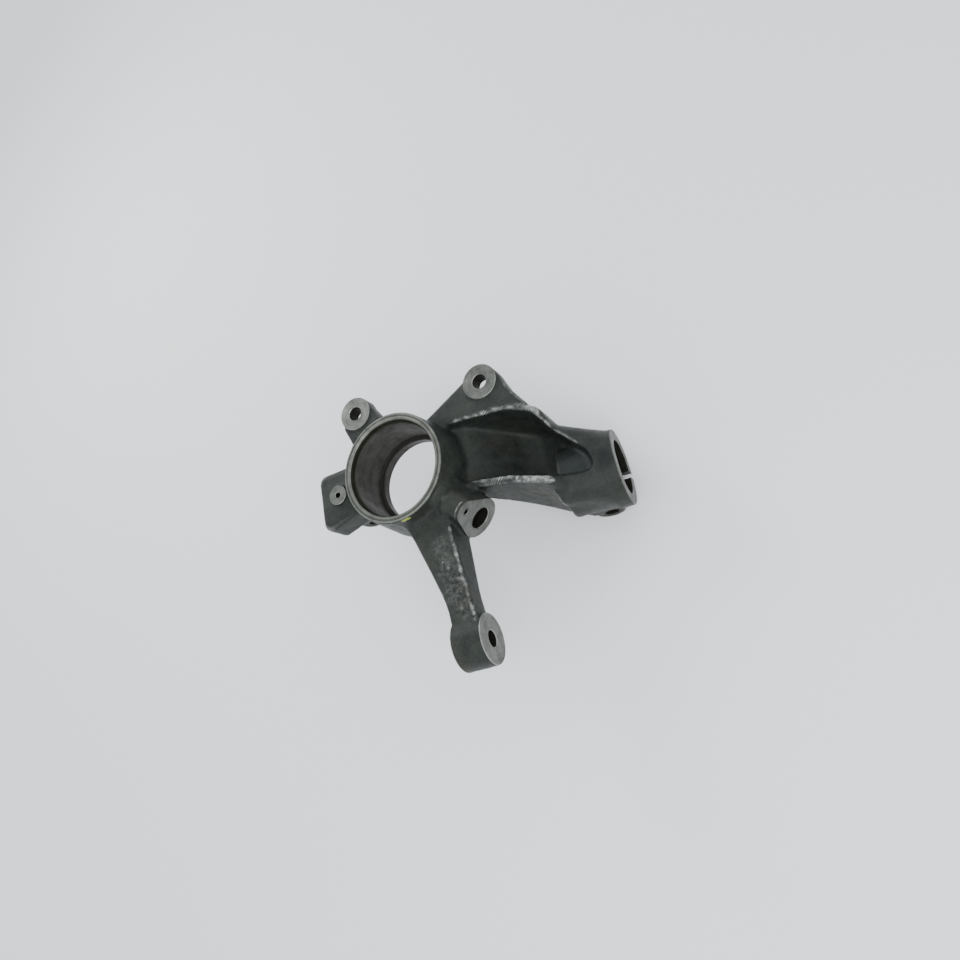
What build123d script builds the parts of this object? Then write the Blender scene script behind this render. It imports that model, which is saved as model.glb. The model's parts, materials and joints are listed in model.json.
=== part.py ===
from build123d import *
from math import cos, radians, sin
import os

# Steering knuckle: one iron casting that holds a wheel bearing, a strut, a ball joint and a tie rod.
#
# Millimetres. +Z is the hub axis, pointing outboard. +X points up the strut and +Y towards the brake
# caliper. Heights are measured from the rim, the machined outboard face of the hub barrel. The finished
# casting is then lifted by SEAT_MID, so that its origin is the centre of the wheel bearing.

# Hub barrel and wheel-bearing seat
BEARING_D = 82.0
BEARING_W = 36.0
SEAT_R = BEARING_D / 2
RIM_WALL = 7.3
BARREL_WALL = 10.0
RIM_R = SEAT_R + RIM_WALL
BARREL_R = SEAT_R + BARREL_WALL
BARREL_L = 57.0
MOUTH_R = SEAT_R + 1.5
RING_GROOVE_R = SEAT_R + 3.0
RING_GROOVE_TOP = 3.6
RING_GROOVE_W = 2.6
SEAT_TOP = RING_GROOVE_TOP + RING_GROOVE_W
SEAT_LEAD = 1.2
SEAT_BOTTOM = SEAT_TOP + SEAT_LEAD + BEARING_W
SEAT_MID = SEAT_BOTTOM - BEARING_W / 2
RELIEF_R = SEAT_R + 1.0
RELIEF_W = 2.4
SHOULDER_R = SEAT_R - 3.5

# Caliper lugs
LUG_Z = -30.0
LUG_R = 16.0
LUG_T = 15.0
LUG_RAISE = 1.8
LUG_HOLE_D = 13.0
LUG_A = (-46.7, 79.9)
LUG_B = (82.0, 59.4)

# Strut clamp: a split barrel whose axis leans inboard at the top
CLAMP_END = (170.8, -38.5, -85.0)
CLAMP_LEAN = 4.5
CLAMP_R = 33.0
CLAMP_BORE_D = 47.0
CLAMP_L = 46.0
SLEEVE_L = 50.0
SLEEVE_R = 29.5
COLLAR_L = 12.0
SLIT_W = 6.0
EAR_HALF_W = 25.0
EAR_R = 12.5
PINCH_BOLT_D = 12.5
PINCH_BELOW_END = 25.0
PINCH_INBOARD = 33.0
SPOT_FACE_L = 30.0

# Neck: a channel, open outboard, between the barrel and the clamp
FLANGE_Z = -32.4
NECK_REAR_Z = -120.0

# Steering arm
ARM_REACH = 156.2
ARM_EYE = (48.0, -ARM_REACH, -30.0)
ARM_EYE_R = 21.0
ARM_EYE_L = 27.0
ARM_HOLE_D = 13.6
ARM_TOP_Z = -14.0
ARM_END_Y = 4.2 - ARM_REACH
ARM_EDGE_ROUND = 4.0

# Wheel-speed sensor boss: radial, on the quarter between the neck and the arm
SENSOR_ANGLE = -46.0
SENSOR_FACE_R = 77.0
SENSOR_Z = -40.0
SENSOR_R = 18.5
SENSOR_HOLE_D = 19.5
SENSOR_HOLE_L = 25.0
SENSOR_TIP_D = 11.0
SENSOR_SCREW_Z = -15.3
SENSOR_SCREW_R = 10.3
SENSOR_SCREW_D = 5.0
SENSOR_SCREW_L = 16.0

# Ball-joint block and its drilled boss
BLOCK_TOP_Z = -8.0
BLOCK_BOTTOM_Z = -34.0
SHIELD_BOSS = (-59.3, -4.3)
SHIELD_BOSS_R = 8.7
SHIELD_BOSS_Z = -3.0
SHIELD_HOLE_D = 5.0
SHIELD_HOLE_L = 19.0

# Ball-joint socket behind the block: a split clamp for the joint's stud, entered from below
JOINT_X = -83.0
JOINT_Y = -2.0
JOINT_Z = -47.0
JOINT_R = 17.5
JOINT_L = 36.0
STUD_D = 18.0
STUD_L = 34.0
JOINT_SLIT_W = 4.0
JOINT_EAR_W = 28.0
JOINT_EAR_L = 26.0
JOINT_EAR_Z = -75.0
JOINT_BOLT_D = 10.5
JOINT_BOLT_X = -64.0
JOINT_BOLT_Z = -63.5


def prism(outline, bottom, top):
    """A straight-sided solid on a closed plan outline, between two heights."""
    return extrude(Pos(0, 0, bottom) * make_face(outline), amount=top - bottom, dir=(0, 0, 1))


def side_prism(outline, low, high):
    """A straight-sided solid on a closed outline drawn in X and Z, from y = low to y = high."""
    face = Pos(0, low, 0) * make_face(Plane.XZ * outline)
    return extrude(face, amount=high - low, dir=(0, 1, 0))


def round_bar(x, y, radius, bottom, top):
    """An upright cylinder between two heights."""
    return Pos(x, y, (bottom + top) / 2) * Cylinder(radius, top - bottom)


def level_edges(solid, z):
    """Edges of a solid that lie flat at one height."""
    return solid.edges().filter_by_position(Axis.Z, z - 0.01, z + 0.01)


def barrel():
    profile = Polyline(
        (0, 0), (RIM_R - 0.8, 0), (RIM_R, -0.8), (BARREL_R, 4 - BARREL_L),
        (BARREL_R - 4, -BARREL_L), (0, -BARREL_L), close=True,
    )
    return revolve(make_face(Plane.XZ * profile), Axis.Z)


def bearing_bore():
    """Retaining-ring groove, bearing seat, relief groove and shoulder, as one turned cut."""
    profile = Polyline(
        (0, 1), (MOUTH_R + 1.2, 1), (MOUTH_R + 1.2, 0), (MOUTH_R, -1.2), (MOUTH_R, -RING_GROOVE_TOP),
        (RING_GROOVE_R, -RING_GROOVE_TOP), (RING_GROOVE_R, -SEAT_TOP), (SEAT_R + 0.6, -SEAT_TOP),
        (SEAT_R, -SEAT_TOP - SEAT_LEAD), (SEAT_R, -SEAT_BOTTOM), (RELIEF_R, -SEAT_BOTTOM),
        (RELIEF_R, -SEAT_BOTTOM - RELIEF_W), (SHOULDER_R, -SEAT_BOTTOM - RELIEF_W),
        (SHOULDER_R, -BARREL_L + 3), (SHOULDER_R + 4, -BARREL_L - 1), (0, -BARREL_L - 1), close=True,
    )
    return revolve(make_face(Plane.XZ * profile), Axis.Z)


def lug_arm():
    """The short arm that carries caliper lug A, widening into the barrel."""
    x, y = LUG_A
    outline = FilletPolyline(
        (-63, 70), (-47, 26), (0, 30), (-8, 46), (-33, 86), (-44, 95), (-58, 90), radius=5, close=True
    )
    top = LUG_Z - LUG_RAISE
    arm = prism(outline, LUG_Z - LUG_T, top)
    arm = fillet(level_edges(arm, top), 3)
    return arm + round_bar(x, y, LUG_R, LUG_Z - LUG_T, LUG_Z)


def lug_plate():
    """The plate between barrel and neck that carries caliper lug B."""
    x, y = LUG_B
    outline = FilletPolyline(
        (20, 30), (60, 20), (116, 16), (118, 25), (106, 44), (99, 62), (93, 71), (79, 75), (67, 67), (23, 46),
        radius=5, close=True,
    )
    top = LUG_Z - LUG_RAISE
    plate = prism(outline, LUG_Z - LUG_T, top)
    plate = fillet(level_edges(plate, top), 2)
    return plate + round_bar(x, y, LUG_R, LUG_Z - LUG_T, LUG_Z)


def clamp_plane(below_end=0.0):
    """Plane across the clamp, so far below its end. Local x is +Y and local y is outboard."""
    lean = radians(CLAMP_LEAN)
    up = (cos(lean), 0, -sin(lean))
    at = [end - below_end * part for end, part in zip(CLAMP_END, up)]
    return Plane(origin=at, x_dir=(0, 1, 0), z_dir=up)


def clamp_bar(radius, start, end):
    """A round bar on the clamp's axis, between two depths below its end."""
    return extrude(clamp_plane(end) * Circle(radius), amount=end - start)


def neck_outline(low, high, nub):
    """Plan of the neck: low and high are the bowed long sides, nub the corner where they end."""
    lower = Spline(*low)
    upper = Spline(*high)
    return lower + Polyline(lower @ 1, *nub, upper @ 0) + upper + Line(upper @ 1, lower @ 0)


def neck_shell():
    """The channel's outside: wider to the rear on its lower side, and stepping inboard as it climbs."""
    front = neck_outline(
        [(10, -30), (60, -31.5), (92, -39), (130, -53)],
        [(119, 22.6), (110, 30), (92, 37), (60, 41), (10, 44)],
        [(130, 9), (127, 17)],
    )
    rear = neck_outline(
        [(10, -34), (60, -40), (92, -50), (130, -66)],
        [(119, 19), (110, 27), (92, 34), (60, 39), (10, 42)],
        [(130, 6), (127, 13)],
    )
    body = loft(
        [Pos(0, 0, NECK_REAR_Z) * make_face(rear), Pos(0, 0, FLANGE_Z) * make_face(front)], ruled=True
    )
    side = FilletPolyline(
        (10, -30), (124, -30), (131, -43), (140, -46), (140, -112), (118, -110), (84, -84), (45, -54), (10, -50),
        radius=4, close=True,
    )
    return body & side_prism(side, -90, 70)


def clamp_blend():
    """The clamp's outside, from the neck's oblong section to the round collar."""
    start = Plane(origin=(121, -25.5, -76.5), x_dir=(0, 1, 0), z_dir=(1, 0, 0)) * RectangleRounded(75, 67, 14)
    end = clamp_plane(4) * Circle(CLAMP_R)
    return loft([start, end])


def pocket():
    """The hollow of the channel, with its floor falling away inboard from the barrel to the clamp."""
    mouth = FilletPolyline(
        (20, -21), (58, -24.4), (92, -31.8), (127, -44.5), (158, -49), (158.5, -28), (131, 2), (119, 17),
        (98, 26.5), (59, 32.5), (20, 34), radius=6, close=True,
    )
    face = Pos(0, 0, FLANGE_Z) * make_face(mouth)
    hollow = extrude(face, amount=70, dir=(0, 0, -1), taper=8)
    above = extrude(face, amount=30, dir=(0, 0, 1))
    floor = FilletPolyline(
        (20, 10), (170, 10), (170, -68), (128, -72), (106, -82), (90, -76), (62, -50), (54, -43), (20, -40),
        radius=3, close=True,
    )
    return (hollow + above) & side_prism(floor, -90, 70)


def pinch_plane(y):
    """Plane across the pinch bolt at a given y."""
    centre = clamp_plane(PINCH_BELOW_END).origin
    lean = radians(CLAMP_LEAN)
    x = centre.X - PINCH_INBOARD * sin(lean)
    z = centre.Z - PINCH_INBOARD * cos(lean)
    return Plane(origin=(x, y, z), x_dir=(1, 0, 0), z_dir=(0, 1, 0))


def ears():
    """Pinch-bolt ears on the clamp's inboard side."""
    start = pinch_plane(CLAMP_END[1] - EAR_HALF_W)
    lobe = Circle(EAR_R) + Pos(0, -16) * Rectangle(2 * EAR_R, 32)
    return extrude(start * lobe, amount=2 * EAR_HALF_W)


def pinch_cuts():
    """The pinch bolt's hole, with a spot face where the far ear runs into the neck."""
    start = pinch_plane(CLAMP_END[1] - EAR_HALF_W - 1)
    hole = extrude(start * Circle(PINCH_BOLT_D / 2), amount=2 * EAR_HALF_W + 2)
    return hole + extrude(pinch_plane(CLAMP_END[1] + EAR_HALF_W) * Circle(EAR_R), amount=SPOT_FACE_L)


def slit():
    """The saw cut from the clamp's bore out between the ears."""
    reach = PINCH_INBOARD + EAR_R + 2
    base = clamp_plane(CLAMP_L + 4)
    return extrude(base * Pos(0, -reach / 2) * Rectangle(SLIT_W, reach), amount=CLAMP_L + 8)


def arm_eye_plane():
    """The tie-rod eye's upper face."""
    return Plane(origin=ARM_EYE, x_dir=(0, 1, 0), z_dir=(1, 0, 0))


def steering_arm():
    """A tapering beam, flat and broad on its outboard face, thinner towards the tie rod."""
    left = FilletPolyline((-14, -30), (1.5, -66), (20.5, ARM_END_Y + 28), (21.5, ARM_END_Y), radius=100)
    right = FilletPolyline((46.5, ARM_END_Y), (41, ARM_END_Y + 42), (34, -30), radius=100)
    plan = left + Line(left @ 1, right @ 0) + right + Line(right @ 1, left @ 0)
    beam = prism(plan, -64, ARM_TOP_Z)
    tail = ARM_END_Y - 8
    under = FilletPolyline((-20, -49), (-66, -49), (tail + 35, -38.5), (tail, -37), radius=100)
    side = under + Polyline(under @ 1, (tail, 0), (-20, 0), under @ 0)
    beam = beam & extrude(Pos(-20, 0, 0) * make_face(Plane.YZ * side), amount=90, dir=(1, 0, 0))
    beam = fillet([edge for edge in beam.edges() if abs((edge % 0.5).Y) > 0.7], ARM_EDGE_ROUND)
    return beam + extrude(arm_eye_plane() * Circle(ARM_EYE_R), amount=-ARM_EYE_L)


def arm_hole():
    return extrude(arm_eye_plane() * Circle(ARM_HOLE_D / 2), amount=ARM_EYE_L + 4, both=True)


def sensor_plane():
    """The sensor boss's face. Local x runs round the barrel and local y is outboard."""
    angle = radians(SENSOR_ANGLE)
    out = (cos(angle), sin(angle), 0)
    at = (SENSOR_FACE_R * out[0], SENSOR_FACE_R * out[1], SENSOR_Z)
    return Plane(origin=at, x_dir=(-out[1], out[0], 0), z_dir=out)


def sensor_boss():
    screw = Pos(0, SENSOR_SCREW_Z - SENSOR_Z) * Circle(SENSOR_SCREW_R)
    outline = make_hull(Circle(SENSOR_R).edges() + screw.edges())
    return extrude(sensor_plane() * outline, amount=-36)


def sensor_holes():
    plane = sensor_plane()
    body = extrude(plane * Circle(SENSOR_HOLE_D / 2), amount=-SENSOR_HOLE_L)
    tip = extrude(plane * Circle(SENSOR_TIP_D / 2), amount=SEAT_R - SENSOR_FACE_R - 4)
    screw = Pos(0, SENSOR_SCREW_Z - SENSOR_Z) * Circle(SENSOR_SCREW_D / 2)
    return body + tip + extrude(plane * screw, amount=-SENSOR_SCREW_L)


def joint_block():
    """The block that carries the ball joint, with the small drilled boss on its face."""
    outline = FilletPolyline(
        (-30, 21), (-81.5, 21), (-82, -34), (-60, -28), (-45, -24), (-30, -22), radius=8, close=True
    )
    block = prism(outline, BLOCK_BOTTOM_Z, BLOCK_TOP_Z)
    block = fillet(level_edges(block, BLOCK_TOP_Z), 4)
    x, y = SHIELD_BOSS
    return block + round_bar(x, y, SHIELD_BOSS_R, BLOCK_TOP_Z - 2, SHIELD_BOSS_Z)


def joint_bar(radius, start, length):
    """A round bar on the ball joint's stud axis, from a depth inside the lower end."""
    mouth = Plane(origin=(JOINT_X + start, JOINT_Y, JOINT_Z), x_dir=(0, 1, 0), z_dir=(1, 0, 0))
    return extrude(mouth * Circle(radius), amount=length)


def joint_socket():
    """The stud's socket and its pinch ears, which point inboard."""
    height = JOINT_Z - JOINT_EAR_Z
    ear = Box(JOINT_EAR_L, JOINT_EAR_W, height)
    ear = fillet(level_edges(ear, -height / 2).filter_by(Axis.Y), 9)
    return joint_bar(JOINT_R, 0, JOINT_L) + Pos(JOINT_BOLT_X, JOINT_Y, (JOINT_Z + JOINT_EAR_Z) / 2) * ear


def joint_cuts():
    """Stud bore, slit and pinch-bolt hole."""
    reach = JOINT_Z - JOINT_EAR_Z + 2
    slit = Pos(JOINT_X + STUD_L / 2, JOINT_Y, JOINT_Z - reach / 2) * Box(STUD_L + 4, JOINT_SLIT_W, reach)
    bolt_line = Plane(origin=(JOINT_BOLT_X, JOINT_Y, JOINT_BOLT_Z), z_dir=(0, 1, 0))
    bolt = extrude(bolt_line * Circle(JOINT_BOLT_D / 2), amount=JOINT_EAR_W, both=True)
    return joint_bar(STUD_D / 2, -1, STUD_L + 1) + slit + bolt


def knuckle():
    neck = neck_shell() + clamp_blend() + clamp_bar(CLAMP_R, 0, COLLAR_L) + lug_plate() - pocket()
    neck += clamp_bar(SLEEVE_R, COLLAR_L / 2, SLEEVE_L)
    neck += ears()
    body = barrel() + neck + lug_arm() + steering_arm() + sensor_boss() + joint_block() + joint_socket()
    body -= bearing_bore()
    body -= clamp_bar(CLAMP_BORE_D / 2, -2, CLAMP_L)
    body -= slit()
    body -= pinch_cuts()
    body -= arm_hole()
    body -= sensor_holes()
    body -= joint_cuts()
    for x, y in (LUG_A, LUG_B):
        body -= round_bar(x, y, LUG_HOLE_D / 2, LUG_Z - LUG_T - 1, LUG_Z + 1)
    x, y = SHIELD_BOSS
    body -= round_bar(x, y, SHIELD_HOLE_D / 2, SHIELD_BOSS_Z - SHIELD_HOLE_L, 0)
    return Pos(0, 0, SEAT_MID) * body


if __name__ == "__main__":
    os.makedirs("parts", exist_ok=True)
    export_step(knuckle(), "parts/knuckle.step")
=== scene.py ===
import json
import math

import bmesh
import bpy
import numpy as np
from bpy.props import FloatProperty, FloatVectorProperty, IntProperty, PointerProperty
from mathutils import Matrix, Vector
from mathutils.geometry import tessellate_polygon


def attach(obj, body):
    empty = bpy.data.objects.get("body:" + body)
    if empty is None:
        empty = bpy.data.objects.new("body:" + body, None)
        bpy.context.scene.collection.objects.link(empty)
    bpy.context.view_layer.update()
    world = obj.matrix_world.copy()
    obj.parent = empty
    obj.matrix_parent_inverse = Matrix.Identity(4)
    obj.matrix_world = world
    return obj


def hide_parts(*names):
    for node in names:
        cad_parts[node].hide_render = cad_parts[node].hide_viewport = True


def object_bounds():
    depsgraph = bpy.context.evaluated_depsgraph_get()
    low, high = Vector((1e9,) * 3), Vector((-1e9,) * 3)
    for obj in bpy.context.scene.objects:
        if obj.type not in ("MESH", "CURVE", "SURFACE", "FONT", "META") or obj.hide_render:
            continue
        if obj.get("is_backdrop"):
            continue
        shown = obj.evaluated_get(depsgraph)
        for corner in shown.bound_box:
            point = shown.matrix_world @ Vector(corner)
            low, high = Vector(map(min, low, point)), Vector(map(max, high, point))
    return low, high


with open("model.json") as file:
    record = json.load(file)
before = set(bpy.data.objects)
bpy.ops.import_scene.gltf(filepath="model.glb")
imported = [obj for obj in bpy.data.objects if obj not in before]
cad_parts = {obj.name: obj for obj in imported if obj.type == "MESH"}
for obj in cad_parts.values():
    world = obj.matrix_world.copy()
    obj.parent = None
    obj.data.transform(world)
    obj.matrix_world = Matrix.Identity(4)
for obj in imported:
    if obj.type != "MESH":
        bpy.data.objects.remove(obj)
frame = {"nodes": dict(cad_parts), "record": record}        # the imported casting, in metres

bl_info = {
    "name": "Steering Knuckle",
    "version": (1, 0, 0),
    "blender": (4, 5, 0),
    "location": "3D View > Sidebar > Knuckle",
    "description": "Dresses a cast steering knuckle: cast skin, machined faces, floor, light and camera",
    "category": "Object",
}

MM = 0.001
NODE = "knuckle"
MOUNTS = {mount["name"]: mount for mount in frame["record"]["mounts"]}
START_LOW, START_HIGH = (tuple(corner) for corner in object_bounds())

# Finishes of the machined pieces, in the order of their material slots
FACE, WALL, SEAT, EDGE, GROOVE = range(5)

# Profile of the hub's ring, as (radius, height over the rim, finish as far as the next point), in
# millimetres: the side in view, from the rim's outer edge down to the inboard mouth, and the side in
# the casting
RIM_Z = START_HIGH[2] / MM
HUB_FRONT = (
    (48.1, -1.1, EDGE), (48.1, -0.9, EDGE), (47.3, 0.0, EDGE), (46.6, 0.0, FACE), (44.6, 0.0, EDGE),
    (43.9, 0.0, EDGE), (42.5, -1.2, GROOVE), (42.5, -3.6, GROOVE), (44.0, -3.7, GROOVE),
    (44.0, -6.1, GROOVE), (41.6, -6.2, FACE), (41.0, -7.4, SEAT), (41.0, -43.4, GROOVE),
    (42.0, -43.5, GROOVE), (42.0, -45.8, SEAT), (38.0, -45.8, SEAT), (37.5, -46.3, SEAT),
    (37.5, -54.0, SEAT), (39.8, -56.3, WALL),
)
HUB_BACK = ((44.0, -55.6, WALL), (46.2, -52.0, WALL), (46.2, -2.4, WALL))

# How far out the skin keeps behind the hub's grooves, as (lowest height over the rim, highest height,
# radius), in millimetres
HUB_CLEARANCES = ((-7.0, -0.4, 45.2), (-45.7, -42.7, 43.0))

# Sizes of the machined pads and of the linings of holes, in millimetres
LUG_PAD_R = 15.9
LUG_BACK_R = 8.2
EYE_PAD_R = 20.8
COLLAR_PAD_R = 32.8
SHIELD_PAD_R = 8.6
SOCKET_PAD_R = 17.2
SLIT_HALF = 3.0
SOCKET_SLIT_HALF = 2.0
SENSOR_PAD_R = 18.3
SENSOR_EAR_R = 10.1
SENSOR_EAR_RISE = 24.7
SENSOR_PAD_T = 1.2
SENSOR_HOLE_GAP = 0.5
SCREW_HOLE_GAP = 0.4
SENSOR_LINING_R = 11.2
SCREW_LINING_R = 4.0
PAD_CHAMFER = 0.35
HOLE_CHAMFER = 0.6
PAD_SIDE = 1.0
LINING_T = 1.6
LINING_DROP = 1.4
TIP_HOLE_R = 5.5
TIP_HOLE_AT = 44.0
TIP_HOLE_L = 12.0
EAR_BORE_FACE = 1.2
EAR_LINING = 9.0
EAR_MIDDLES = {
    "strut_ear_bore": MOUNTS["strut_clamp"]["pos_m"][1],
    "joint_ear_bore": MOUNTS["ball_joint_clamp"]["pos_m"][1],
}

# Fineness of the machined surfaces: the longest side of a profile, in millimetres, the angle in degrees
# above which an edge is sharp, and numbers of points
PROFILE_STEP = 6.0
SHARP_ANGLE = 25
SENSOR_PAD_POINTS = 72
SENSOR_HOLE_POINTS = 64
TIP_HOLE_POINTS = 48
HULL_CIRCLES = 40

# How the skin meets the machined surfaces, in millimetres: how far its edge lies under a free face and
# stands proud of its side, the distances up to which it is laid under a surface and, round the sensor
# pad's outline, under the pad, and the height and distance up to which it is trimmed to a face's edge
SKIN_EDGE = 0.8
SKIN_PROUD = 0.15
SINK_REACH = 1.7
PAD_MARGIN = 0.2
TRIM_HEIGHT = SKIN_EDGE + 0.2
TRIM_REACH = 1.4

# Distances from the machined surfaces, in metres, between which smoothing, roughness, and the rubbed
# wear, painted highlights and painted shade of the skin set in
SMOOTH_CLEAR = (1.5 * MM, 6.0 * MM)
ROUGH_CLEAR = (0.5 * MM, 3.0 * MM)
WEAR_AND_PAINTED_LIGHT_CLEAR = (1.4 * MM, 3.4 * MM)

# Smoothing of the skin's net. Blending: the shares of a point's pull out of the metal and along the
# surface, and how many steps use the same normals. Edges: the share, and the least that is left of it
# beside machined faces. Levelling: the steps, and the shares in and out. Easing: the steps, the share
# and the places where the solid's own steps are eased, as (middle, reach), in metres.
BLEND_OUT = 0.9
BLEND_SLIDE = 0.3
NORMAL_EVERY = 5
EDGE_SHARE = 0.5
EDGE_LEAST = 0.35
LEVEL_STEPS = 8
LEVEL_SHARES = (0.5, -0.52)
EASE_STEPS = 40
EASE_SHARE = 0.5
EASED = (((0.130, -0.050, -0.010), 0.012), ((0.121, -0.060, -0.078), 0.012))

# Unevenness of the skin, as layers of noise, each (share, cell in millimetres, seed)
LUMPS = ((0.6, 19.0, 1), (0.4, 8.0, 2))
GRAIN = ((0.6, 3.4, 3), (0.4, 1.9, 4))
CRUMBS = ((0.6, 5.0, 5), (0.5, 2.8, 6))
FLASH_CRUMBS = ((1.2, 3.1, 7),)

# Crumbs, as shares of the crumb height: the mean on flashes, the most on crests and in the arm's patch,
# and the bulges between which crests begin
FLASH_BASE = 0.9
CREST_CRUMBS = 0.6
PATCH_CRUMBS = 3.1
CREST_BULGE = (0.05, 0.16)

# Lines on the casting, in metres: the arm's coarse patch, the flash along the arm's ridge and the channel's
# edges, the rib round the sensor boss's root, the stretch of the channel's edge with a painted highlight,
# and the recess beside the clamp with painted shade. A reach is how far a line's effect goes.
PATCH = ((0.025, -0.080, 0.0114), (0.035, -0.130, 0.0114))
PATCH_REACH = 0.0142
FLASHES = (
    ((0.0360, -0.060, 0.0105), (0.0398, -0.108, 0.0105), (0.0440, -0.141, 0.0105)),
    ((0.0510, 0.0338, -0.0070), (0.0810, 0.0306, -0.0070), (0.0923, 0.0295, -0.0066),
     (0.1122, 0.0245, -0.0066), (0.1209, 0.0192, -0.0070), (0.1270, 0.0123, -0.0080)),
    ((0.0640, -0.0260, -0.0070), (0.0920, -0.0325, -0.0070)),
)
FLASH_REACH = 0.0022
BOSS_RIB = (
    (0.0454, -0.0209, -0.0094), (0.0438, -0.0233, -0.0018), (0.0462, -0.0321, 0.0102),
    (0.0468, -0.0403, 0.0187), (0.0407, -0.0443, 0.0203), (0.0355, -0.0484, 0.0164),
    (0.0355, -0.0536, 0.0094),
)
BOSS_RIB_REACH = 0.0042
# Painted highlight: a lighter, glossier stripe on the channel's flat edge
PAINTED_HIGHLIGHTS = (((0.0960, -0.0362, -0.0070), (0.1250, -0.0464, -0.0070)),)
PAINTED_HIGHLIGHT_REACH = 0.0046
# Painted shade: the recess beside the clamp is darkened through the hollow colour
PAINTED_SHADE_LINE = ((0.1320, -0.0270, -0.0290), (0.1480, -0.0330, -0.0290))
PAINTED_SHADE_REACH = 0.018

# Rubbed wear and painted light along those lines: the share of a crest's rubbed wear and painted highlight
# that the boss's rib takes away, and how far it does, how deep the recess's painted shade counts as a
# hollow, and the painted highlight of the patch and of flashes, where the channel's edge has 1
RIB_SPARES = 0.65
RIB_SPARES_REACH = 2.2 * BOSS_RIB_REACH
PAINTED_SHADE_DEPTH = 0.16
PATCH_HIGHLIGHT = 0.13
FLASH_HIGHLIGHT = 0.34

# Ragged sides of the lines: how ragged they are and the noise's cell, as shares of the reach, the noise's
# seed, and the share of the reach in which a line is whole
RAGGED_SHARE = 0.3
RAGGED_CELL = 0.7
RAGGED_SEED = 9
WHOLE_SHARE = 0.35

# Paint mark: its middle and the least and greatest distance of its edge, in metres, and how much it is
# flattened along each axis
PAINT_AT = (0.0045, -0.0484, 0.0222)
PAINT_R = (3.0 * MM, 6.4 * MM)
PAINT_FLATTENED = (1.0, 1.0, 2.6)

# Patterns of the cast skin and of machined iron, as (cells per metre, detail, roughness), and the band
# that holds most of a pattern's values
BLOTCHES = (34.0, 4.0, 0.6)
PATCHES = (140.0, 3.0, 0.6)
SAND = (900.0, 2.0, 0.6)
BROWN_PATCHES = (22.0, 3.0, 0.6)
RUB_AND_HIGHLIGHT_GAPS = (260.0, 4.0, 0.7)
HIGHLIGHT_GAPS = (330.0, 4.0, 0.7)
PAINT_RAGGED = (500.0, 3.0, 0.6)
OIL_BLOTCHES = (90.0, 4.0, 0.65)
FINE_SCRATCHES = (800.0, 2.0, 0.6)
PITS_PER_METRE = 420.0
BAND = (0.3, 0.7)

# Tool marks on machined iron, as (cells, detail, roughness) on a map with so many cells in a full turn
TOOL_MARKS = (1.0, 4.0, 0.65)
MARKS_ROUND = 6.0

# Colour of the painted shade in hollows of the skin, the bulges between which that painted shade deepens
# and crests are rubbed bare with a painted highlight, and the share of a machined face's brightness that
# its oily blotches keep
HOLLOW_SHADE_COLOUR = (0.006, 0.008, 0.011)
HOLLOW_SHADE_BULGE = (-0.035, -0.19)
RUB_AND_HIGHLIGHT_BULGE = (0.048, 0.155)
DULL_SHARE = 0.42

# Floor and lights: the gap under the casting, the colour from all round, the lamps' places and sizes, and
# the point that they face, in metres
FLOOR_GAP = 0.001
SKY_COLOUR = (0.93, 0.96, 1.0)
LIT_POINT = (0.04, -0.03, 0.0)
KEY_AT = (-0.55, 0.7, 0.55)
KEY_SIZE = 0.3
FILL_AT = (0.45, -0.55, 0.85)
FILL_SIZE = 0.7

# Camera: its lens and the width of its square frame, in millimetres, its place in metres, and its right,
# up and back directions
LENS = 30.0
FRAME_WIDTH = 36.0
CAMERA_AT = (0.31662, -0.26376, 0.56157)
CAMERA_RIGHT = (0.86546, -0.18835, -0.46421)
CAMERA_UP = (0.32632, 0.91504, 0.23711)
CAMERA_BACK = (0.38011, -0.35669, 0.8534)


# ---------------------------------------------------------------------------------------------------
# Settings
# ---------------------------------------------------------------------------------------------------

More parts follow.
